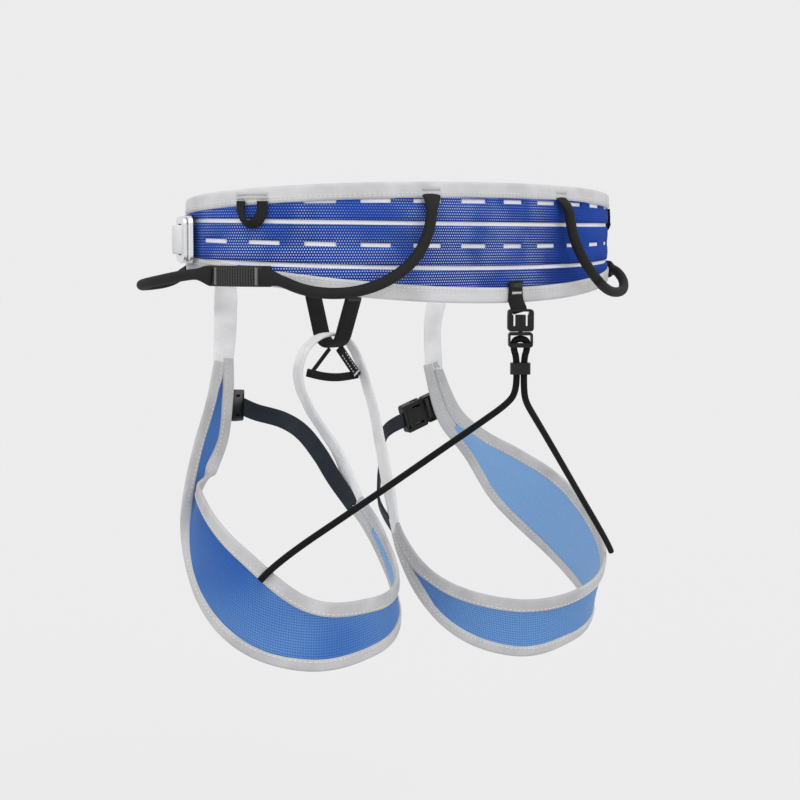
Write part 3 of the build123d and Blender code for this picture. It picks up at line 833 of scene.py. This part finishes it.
def rounded_box(wide, tall, corner, steps=5):
    """Closed outline of a box with round corners, as (x, z) pairs."""
    spots = []
    for index, (x, z) in enumerate(((1, 1), (-1, 1), (-1, -1), (1, -1))):
        for k in range(steps + 1):
            turn = math.radians(90 * index + 90 * k / steps)
            spots.append((x * (wide / 2 - corner) + corner * math.cos(turn),
                          z * (tall / 2 - corner) + corner * math.sin(turn)))
    return spots


# ---- gear and haul loops ----
GEAR_RADIUS = 3.5
REAR_LOOP = {  # (angle round the waist, how far out, height)
    "left": ((22.5, 6, 24), (23.5, 9, 6), (26.5, 12, -11), (32.5, 14, -25), (41, 15, -33),
             (51, 13, -32), (60.5, 6, -23)),
    "right": ((16.5, 6, 24), (16, 9, 6), (18, 12, -10), (22.5, 14.5, -25), (30, 15.5, -37),
              (40, 17, -38), (48, 14, -30), (54, 6, -22)),
}
FRONT_LOOP = (  # (x, y, z), leaning forwards off the hip
    (180.6, 7, -21), (184, -13, -23), (188, -38, -27), (185, -62, -30), (172, -76, -31),
    (157, -70, -29), (155, -54, -22),
)
LOOP_SEWN = 15.0  # length over which a loop's end is pressed flat
RIB_LEVEL, RIB_TALL = -22.5, 13.0
HAUL_ANGLE, HAUL_TOP, HAUL_TALL = 68.0, 23.5, 17.5


def gear_loop(name, body, points, first_across, last_across):
    """Sleeved tube whose ends are pressed flat where they are sewn on."""
    centres = route(points)
    lengths = along_lengths(centres)
    whole = lengths[-1]
    acrosses, sections = [], []
    for s in lengths:
        acrosses.append(first_across.lerp(last_across, s / whole))
        press = max(0.0, 1 - s / LOOP_SEWN, 1 - (whole - s) / LOOP_SEWN)
        press = press * press * (3 - 2 * press)
        sections.append(round_section(GEAR_RADIUS + 2.9 * press, GEAR_RADIUS - 2.4 * press, 18))
    cloth = Cloth()
    sweep(cloth, centres, acrosses, sections, by_rim=True)
    piece = cloth.finish(name, "gear_loop_tube", None, [body])
    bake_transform(piece)


def make_gear_loops():
    for side, sign in SIDES.items():
        rear = [waist_point(sign * angle, out, z) for angle, out, z in REAR_LOOP[side]]
        sewn = sign * (REAR_LOOP[side][0][0] - 0.3)
        start = waist_point(sewn, -0.2, 28.5)
        end = waist_point(sign * 64.5, 4.2, RIB_LEVEL)
        gear_loop(f"rear_gear_loop_{side}", f"gear_loop_rear_{side}", [start, *rear, end],
                  waist_along(sewn), up)
        front = [Vector((sign * x, y, z)) for x, y, z in FRONT_LOOP]
        start = Vector((sign * 179.0, 15.5, RIB_LEVEL))
        end = Vector((sign * 153.0, -48.5, -14))
        gear_loop(f"front_gear_loop_{side}", f"gear_loop_front_{side}", [start, *front, end],
                  up, waist_along(sign * 118))

        ribbed_webbing(side, sign)
        for angle in (66.0, 80.5):
            spot = waist_point(sign * angle, 4.15, RIB_LEVEL)
            bartack(threads("grey_thread", "root"), spot, up, waist_normal(sign * angle), 10.5, 2.0)
        spot = waist_point(sewn, BINDING_FACE + 0.3, belt_z(sewn, 1, -6.2))
        for lift in (-1.6, 1.6):
            bartack(threads("pale_thread", "root"), spot + up * lift, waist_along(sewn),
                    waist_normal(sewn), 13, 2.2)


def ribbed_webbing(side, sign):
    """Flat stretch of the sleeve, sewn on the belt between the two loops, with upright ribs."""
    first, last = distance_at(62.0), distance_at(84.2)
    count = int((last - first) / RIB_PITCH) * 6
    cloth = Cloth()
    centres, sections = [], []
    for k in range(count + 1):
        s = first + (last - first) * k / count
        rib = 0.5 - 0.5 * math.cos(2 * math.pi * (s - first) / RIB_PITCH)
        centres.append(waist_point(sign * angle_at(s), 2.2, RIB_LEVEL))
        sections.append(flat_section(RIB_TALL, 2.4 + 0.9 * rib, 0.1))
    sweep(cloth, centres, [up] * len(centres), sections)
    cloth.finish(f"ribbed_webbing_{side}", "ribbed_webbing", "root", [f"gear_loop_webbing_{side}"])


def make_haul_loops():
    """Narrow tape doubled into a small loop, hanging from the belt's top edge."""
    shape = (  # (along the belt, up, out, across: along, up, out, width)
        (-6.8, 8.7, 0.5, 1, 0.15, 0.25, 6.5), (-6.8, 3, 1.1, 1, -0.1, 0.6, 6.5),
        (-4.9, -2.8, 2.0, 0.75, 0.2, 0.8, 6), (-0.6, -5.4, 2.5, 0.1, 0.75, 0.5, 6),
        (4.4, -3.4, 2.0, -0.9, 0.5, 0.3, 6.5), (6.9, 1.6, 1.1, -1, 0.1, 0.1, 7),
        (7.1, 8.7, 0.5, -1, -0.1, 0.05, 7),
    )
    for side, sign in SIDES.items():
        angle = sign * HAUL_ANGLE
        out, along = waist_normal(angle), -sign * waist_along(angle)
        origin = waist_point(angle, 1.2, HAUL_TOP - HAUL_TALL / 2)
        stations = []
        for a, b, c, u, v, w, wide in shape:
            spot = origin + along * a + up * b + out * c
            across = along * u + up * v + out * w
            stations.append((*spot, *across, wide))
        piece = strap(f"haul_tape_{side}", "black_webbing", stations, 1.5, None,
                      [f"haul_loop_{side}"], 48, wobble=0)
        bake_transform(piece)
        for lift in (-0.8, 1.6):
            spot = waist_point(angle, BINDING_FACE + 0.3, belt_z(angle, 1, -5.5 + lift))
            bartack(threads("pale_thread", "root"), spot, waist_along(angle), out, 20, 1.6)


# ---- leg bands ----
THIGH_X, THIGH_Y, THIGH_A, THIGH_B = 91.0, -9.0, 77.0, 81.0
BAND_TOP = {  # (angle from the thigh's front, share of the thigh, height)
    "left": ((4, .95, -84), (6, .92, -112), (13, .90, -146), (35, .88, -164), (70, .91, -167),
             (110, .95, -194), (145, .95, -225), (180, .87, -231), (215, .82, -230),
             (255, .83, -214), (286, .95, -188)),
    "right": ((9, .93, -98), (24, .93, -138), (42, .95, -158), (62, .98, -172), (88, 1.02, -191),
              (115, 1.06, -218), (145, 1.08, -242), (180, 1.05, -254), (215, 1.03, -256),
              (255, 1.04, -243), (286, 1.03, -213)),
}
BAND_BOTTOM = {
    "left": ((17, .97, -88), (24, .98, -116), (36, 1.01, -146), (55, 1.03, -187), (80, 1.03, -229),
             (112, 1.04, -259), (145, 1.0, -271), (180, .91, -269), (215, .84, -264),
             (252, .86, -249), (297, .97, -196)),
    "right": ((-3, .95, -102), (8, .95, -146), (28, .95, -180), (48, .95, -220), (78, .97, -254),
              (112, .96, -279), (145, .95, -287), (180, .98, -294), (215, 1.01, -298),
              (252, 1.03, -279), (298, 1.02, -222)),
}
EDGE_WIDE = {"upper": 9.5, "lower": 7.8}
EDGE_THICK = 2.8
LEG_THICK = 1.4
PANEL_FROM, PANEL_TO = {"left": 0.03, "right": 0.13}, 0.955  # the mesh's ends, as shares of the band
TAPE_PARTING = 0.04  # share of the band over which the tapes part beside the mesh
BAND_COUNT = 150


def thigh_point(side, station):
    angle, reach, z = station
    a = math.radians(angle)
    x = THIGH_X + THIGH_A * reach * math.sin(a)
    return Vector((SIDES[side] * x, THIGH_Y - THIGH_B * reach * math.cos(a), z))


def band_line(side, count=BAND_COUNT):
    """Bottom point, top point and direction towards the thigh at even shares of a leg band."""
    bottoms = [thigh_point(side, smooth(BAND_BOTTOM[side], k / count)) for k in range(count + 1)]
    tops = [thigh_point(side, smooth(BAND_TOP[side], k / count)) for k in range(count + 1)]
    ways = travel([(a + b) / 2 for a, b in zip(bottoms, tops)])
    inwards = [way.cross(top - bottom).normalized() * -SIDES[side]
               for bottom, top, way in zip(bottoms, tops, ways)]
    return bottoms, tops, inwards


def make_leg_bands():
    for side in SIDES:
        bottoms, tops, inwards = band_line(side)
        make_leg_panel(side, bottoms, tops, inwards)
        for name, starts, ends in (("lower", bottoms, tops), ("upper", tops, bottoms)):
            make_leg_tape(side, name, starts, ends, inwards)


def make_leg_panel(side, bottoms, tops, inwards):
    across_rows = 12
    first, last = round(BAND_COUNT * PANEL_FROM[side]), round(BAND_COUNT * PANEL_TO)
    centres = [(a + b) / 2 for a, b in zip(bottoms, tops)]
    lengths = along_lengths(centres)
    rows, normals, coords = [], [], []
    for k in range(first, last + 1):
        across = tops[k] - bottoms[k]
        wide = across.length
        margin = min(EDGE_WIDE["lower"] - 2, wide / 2 - 0.5)
        row, spots = [], []
        for j in range(across_rows + 1):
            t = j / across_rows
            v = margin + (wide - 2 * margin) * t
            ripple = 0.5 * noise.noise(Vector((lengths[k] * 0.025, v * 0.05, 4)))
            belly = 0.9 * math.sin(math.pi * t) + ripple
            row.append(bottoms[k] + across.normalized() * v + inwards[k] * belly)
            spots.append((lengths[k], v))
        rows.append(row)
        normals.append([inwards[k]] * len(row))
        coords.append(spots)
    cloth = Cloth()
    shell(cloth, rows, normals, LEG_THICK, coords, face_shift=FACE_SHIFT)
    panel = cloth.finish(f"leg_mesh_{side}", "leg_mesh", "leg_loops", [f"leg_panel_{side}"])


def tape_width(side, name, share, half):
    """Width of a tape on a band of this half width; the two tapes meet beyond the mesh's ends."""
    inside = min(share - PANEL_FROM[side], PANEL_TO - share)
    opened = min(1.0, max(0.0, inside / TAPE_PARTING))
    usual = min(EDGE_WIDE[name], half + 0.1)
    return usual + (half + 0.1 - usual) * (1 - opened)


def make_leg_tape(side, name, starts, ends, inwards):
    """Folded tape along one edge of a leg band, and its stitching on both faces."""
    centres, acrosses, sections = [], [], []
    for k, (start, end) in enumerate(zip(starts, ends)):
        across = end - start
        wide = tape_width(side, name, k / BAND_COUNT, across.length / 2)
        pucker = 0.25 * noise.noise(Vector((k * 0.3, len(name), SIDES[side])))
        centres.append(start + across.normalized() * (wide / 2))
        acrosses.append(across.normalized())
        sections.append(flat_section(wide, EDGE_THICK + pucker, 0.12))
    cloth = Cloth()
    sweep(cloth, centres, acrosses, sections, wobble=0.25)
    # the leg tapes take the darker copy of the binding tape: painted shade
    cloth.finish(f"leg_{name}_tape_{side}", "leg_binding_shaded", "leg_loops", [f"leg_{name}_binding_{side}"])
    for face in (1, -1):
        seam = []
        for start, end, inward in zip(starts, ends, inwards):
            across = end - start
            place = min(EDGE_WIDE[name], across.length / 2) - 1.8
            seam.append(start + across.normalized() * place + inward * face * (EDGE_THICK / 2 + 0.1))
        facing = [inward * face for inward in inwards]
        stitch_row(threads("white_thread", "leg_loops"), seam, facing, 2.1, 1.2)


# ---- straps of the leg loops ----
SIDE_STRAP_TOP = (  # (point, direction of the width, width), top to bottom
    (103, -80.5, 8, 18, 8, 0, 18), (103, -79.5, -4, 18, 8, 0, 19), (103, -79.5, -16, 18, 8, 0, 19),
)
SIDE_STRAP = {
    "left": (*SIDE_STRAP_TOP, (103, -84, -34, 16, 0, 0, 18), (101, -88, -60, 13, -8, 0, 16)),
    "right": (*SIDE_STRAP_TOP, (102, -83, -38, 18, 6, 0, 18), (97, -86, -70, 16, 3, 0, 16)),
}
BRIDGE = (  # middle line of the strap that joins the two leg loops
    (23, -56, -160), (34, -76, -128), (38, -86, -104), (29, -91, -84), (11, -92, -73.5),
    (-8, -92, -74.5), (-20, -91, -87), (-29, -88, -112), (-32, -80, -140), (-27, -61, -182),
)
THIGH_STRAP = {  # middle line, crotch to buckle
    "left": ((23.5, -38, -195), (29, -54, -176), (32, -67, -160), (38, -81, -144), (47, -94, -135),
             (63, -106, -129)),
    "right": ((-23, -44, -222), (-24, -66, -203), (-36, -79, -178), (-52, -93, -154.5)),
}
THIGH_STRAP_WIDE = 12.5
BUCKLE_SITE = {  # mouth of the buckle, the way into its socket, end of its tab
    "left": ((91, -98, -121), (-0.805, -0.585, -0.10), (114, -87.5, -116)),
    "right": ((-95.5, -95.5, -140), (0.93, -0.10, -0.30), (-113.5, -87, -131)),
}
SOCKET_DEEP, PLUG_DEEP = 21.0, 14.5


def make_side_straps():
    """The strap from the waist to each leg band, joined to the belt at its top and free below."""
    for side, sign in SIDES.items():
        bottoms, tops, _ = band_line(side)
        end, across = (bottoms[3] + tops[3]) / 2, tops[3] - bottoms[3]
        if side == "left":
            across = -across
        stations = [(sign * x, y, z, sign * u, v, w, wide) for x, y, z, u, v, w, wide in SIDE_STRAP[side]]
        stations.append((*end, *across, min(16, across.length)))
        piece = strap(f"side_webbing_{side}", "white_webbing", stations, 2.2, None,
                      [f"side_strap_{side}", f"side_strap_anchor_{side}"], 110, 0.35, 1.5)
        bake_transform(piece)
        out = thigh_out(side, end)
        for lift in (-2.0, 2.0):
            bartack(threads("white_thread", "leg_loops"), end + across.normalized() * lift + out * 1.7,
                    bottoms[6] - bottoms[0], out, 7, 2.6)


def thigh_out(side, point):
    """Level direction from the middle of the thigh to a point."""
    return Vector((point.x - SIDES[side] * THIGH_X, point.y - THIGH_Y, 0)).normalized()


def make_bridge():
    """The strap between the two leg bands."""
    ends = {}
    for side in SIDES:
        bottoms, tops, _ = band_line(side)
        ends[side] = ((bottoms[-2] + tops[-2]) / 2, tops[-2] - bottoms[-2])
    stations = [(*ends["left"][0], *ends["left"][1].normalized(), 15), (*BRIDGE[0], 0.1, 1, 0.4, 13)]
    stations += [(*point, 0, 1, 0, 11) for point in BRIDGE[1:-1]]
    stations += [(*BRIDGE[-1], 0, 1, 0.4, 13), (*ends["right"][0], *ends["right"][1].normalized(), 15)]
    strap("bridge_tape", "white_webbing", stations, 2.6, "leg_loops", ["leg_bridge_strap"], 130, 0.5, 0.5)


def make_thigh_straps():
    """The strap round the front of each thigh to its buckle, and the buckle's tab on the leg band."""
    for side in SIDES:
        mouth, way, tab_end = (Vector(v) for v in BUCKLE_SITE[side])
        way.normalize()
        points = [Vector(p) for p in THIGH_STRAP[side]] + [mouth + way * (SOCKET_DEEP - 1)]
        acrosses = [ahead.cross(thigh_out(side, point)) for point, ahead in zip(points, travel(points))]
        stations = [(*p, *a, THIGH_STRAP_WIDE) for p, a in zip(points, acrosses)]
        strap(f"thigh_webbing_{side}", "slate_webbing", stations, 1.7, "leg_loops",
              [f"thigh_strap_{side}"], 60)

        near = mouth - way * (PLUG_DEEP - 0.5)
        stations = [(*near.lerp(tab_end, t), 0, 0, 1, 12 + 2 * t) for t in (0.0, 0.3, 0.6, 1.0)]
        strap(f"buckle_webbing_{side}", "black_webbing", stations, 1.8, "leg_loops",
              [f"thigh_buckle_tab_{side}"], 16)


# ---- belay loop and its keeper ----
BELAY_CIRCLES = ((-93.0, -6.0, 22.5), (-92.5, -38.0, 27.0), (-93.5, -66.5, 16.5))  # (y, z, radius)
BELAY_WIDE = 15.0
KEEPER_Y = -92.0
KEEPER = ((-5.5, -84.5), (-22, -105), (-10, -109), (8, -107.5), (22, -101), (5.5, -84.5))


def belay_line(shrink, steps=90, spacing=4.0):
    """Closed outline stretched round the circles, with points along its straight sides too."""
    spots = []
    for k in range(steps):
        turn = 2 * math.pi * k / steps
        way = Vector((0, math.cos(turn), math.sin(turn)))
        y, z, radius = max(BELAY_CIRCLES, key=lambda c: c[0] * way.y + c[1] * way.z + c[2])
        spot = Vector((0, y, z)) + way * (radius - shrink)
        if spots:
            count = int((spot - spots[-1]).length / spacing)
            last = spots[-1]
            spots += [last.lerp(spot, n / (count + 1)) for n in range(1, count + 1)]
        spots.append(spot)
    return spots


def make_belay_loop():
    """Doubled webbing: an outer and an inner ply, joined by bartacks on both arms."""
    across = Vector((1, 0, 0))
    cloth = Cloth()
    for shrink, wide, thick in ((0.9, BELAY_WIDE, 1.7), (2.5, BELAY_WIDE - 1.2, 1.6)):
        centres = belay_line(shrink)
        sections = [flat_section(wide, thick, 0.1)] * len(centres)
        sweep(cloth, centres, [across] * len(centres), sections, closed=True)
    cloth.finish("belay_webbing", "black_webbing", "leg_loops", ["belay_loop"])
    y, z, radius = BELAY_CIRCLES[1]
    for face in (1, -1):
        for turn in (-16, -5, 6, 17):
            out = Vector((0, face * math.cos(math.radians(turn)), math.sin(math.radians(turn))))
            spot = Vector((0, y, z)) + out * radius
            bartack(threads("black_thread", "leg_loops"), spot, across, out, 11, 2.4)


def make_belay_keeper():
    """Flat ribbon in a triangle under the belay loop; its right arm is sewn with two pale rows."""
    spots = [Vector((x, KEEPER_Y, z)) for x, z in KEEPER]
    cloth = Cloth()
    arms = ((spots[0], spots[1], 7.2, 1.2), (spots[1], spots[4], 6.4, -0.9), (spots[4], spots[5], 3.4, 0.9))
    for a, b, wide, shift in arms:
        way = (b - a).normalized()
        across = Vector((0, 1, 0)).cross(way)
        centres = []
        for k in range(17):
            t = k / 16
            sag = -3.0 * math.sin(math.pi * t) if a is spots[1] else 0.0
            centres.append(a.lerp(b, t * 1.12 - 0.06) + Vector((0, shift, sag)))
        sweep(cloth, centres, [across] * len(centres), [flat_section(wide, 1.6, 0.1)] * len(centres))
    cloth.finish("keeper_ribbon", "black_webbing", "leg_loops", ["belay_keeper_strap"])
    white = threads("white_thread", "leg_loops")
    way = (spots[0] - spots[1]).normalized()
    across = Vector((0, 1, 0)).cross(way)
    for lift in (-1.9, 1.9):
        for face in (1, -1):
            first = spots[1] + across * lift + Vector((0, 1.2 + face * 0.95, 0)) + way * 3
            line = [first + way * (19 * k / 8) for k in range(9)]
            stitch_row(white, line, [Vector((0, face, 0))] * 9, 1.7, 1.0)
    bartack(white, spots[1] + way * 1.6 + Vector((0, 2.3, 0)), across, Vector((0, 1, 0)), 6.4, 2.0)


# ---- riser ----
RISER_CORD = 4.4
RISER_MOUTH = Vector((0, 108.0, -60.0))
RISER_ACROSS = Vector((-0.77, 0.64, 0))
RISER_CORD_TOP = ((4.4, -5), (4.4, -12), (2.4, -17.5), (2.4, -40))  # (across, up) in the buckle
RISER_CORD_LEFT = (  # on from the buckle to the left leg band
    (8, 103.5, -108), (24, 96.5, -119), (48, 86, -135), (98, 63.5, -169), (150.5, 41, -203),
    (158.4, 36.8, -213.2),
)
RISER_CORD_RIGHT = (  # and to the right leg band
    (-7, 107, -108), (-18, 103.5, -118), (-40, 96.4, -137.5), (-92, 79.6, -185), (-140, 64, -228),
    (-148, 61, -237),
)


def make_riser():
    """Elastic cord from one leg band to the other through the buckle, and the buckle's tab on the belt."""
    left = [RISER_MOUTH - RISER_ACROSS * x + up * z for x, z in RISER_CORD_TOP]
    left += map(Vector, RISER_CORD_LEFT)
    right = [RISER_MOUTH + RISER_ACROSS * x + up * z for x, z in RISER_CORD_TOP]
    right += map(Vector, RISER_CORD_RIGHT)
    centres = route([*reversed(left), *right])
    cloth = Cloth()
    sections = [round_section(RISER_CORD / 2, RISER_CORD / 2)] * len(centres)
    sweep(cloth, centres, [Vector((0.64, 0.77, 0.3))] * len(centres), sections, by_rim=True)
    cord = cloth.finish("riser_elastic", "elastic_cord", None, ["riser_cord"])
    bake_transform(cord)

    stations = [(*waist_point(0, out, z), 1 - 0.23 * twist, -0.64 * twist, 0, wide)
                for z, out, twist, wide in ((-27, 2.1, 0, 12.5), (-34, 2.1, 0, 12.5), (-40, 2.5, 0.2, 12.5),
                                            (-45, 5.0, 0.7, 11.0), (-47.6, 6.3, 1.0, 9.6))]
    strap("riser_tape", "black_webbing", stations, 1.7, "root", ["riser_tab"], 24, wobble=0)
    bartack(threads("pale_thread", "root"), waist_point(0, 3.2, -35), Vector((1, 0, 0)),
            waist_normal(0), 8.5, 1.8)
    bartack(threads("black_thread", "root"), waist_point(0, 3.2, -30), up, waist_normal(0), 2.5, 10)


# ---- rigid pieces that keep their CAD shape ----
RIGID = ("waist_buckle", "riser_buckle", "riser_cord_stop", "thigh_buckle_socket", "thigh_buckle_plug",
         "thigh_buckle_prong")


def dress_rigid_pieces():
    """Moulded and metal pieces keep their shape and get a soft edge and their own finish."""
    slots = {row["node"]: row["material_slot"] for row in frame["record"]["subparts"]}
    for name, node in frame["nodes"].items():
        if not name.startswith(RIGID):
            continue
        node.data.materials.clear()
        node.data.materials.append(FINISHES[slots[name]])
        edge = node.modifiers.new("edge", "BEVEL")
        edge.width = 0.45 * MM
        edge.segments = 2
        edge.limit_method = "ANGLE"
        edge.angle_limit = math.radians(40)
        edge.harden_normals = True


def finish_threads():
    for (colour, body), cloth in THREADS.items():
        replaced = ["bartack_stitching"] if (colour, body) == ("white_thread", "root") else ()
        cloth.finish(f"{colour}_on_{body}", colour, body, replaced)


make_camera()
make_studio()
make_belt_panel()
make_liner()
make_belt_bindings()
make_closure()
make_keeper()
make_gear_loops()
make_haul_loops()
make_leg_bands()
make_side_straps()
make_bridge()
make_thigh_straps()
make_belay_loop()
make_belay_keeper()
make_riser()
dress_rigid_pieces()
finish_threads()
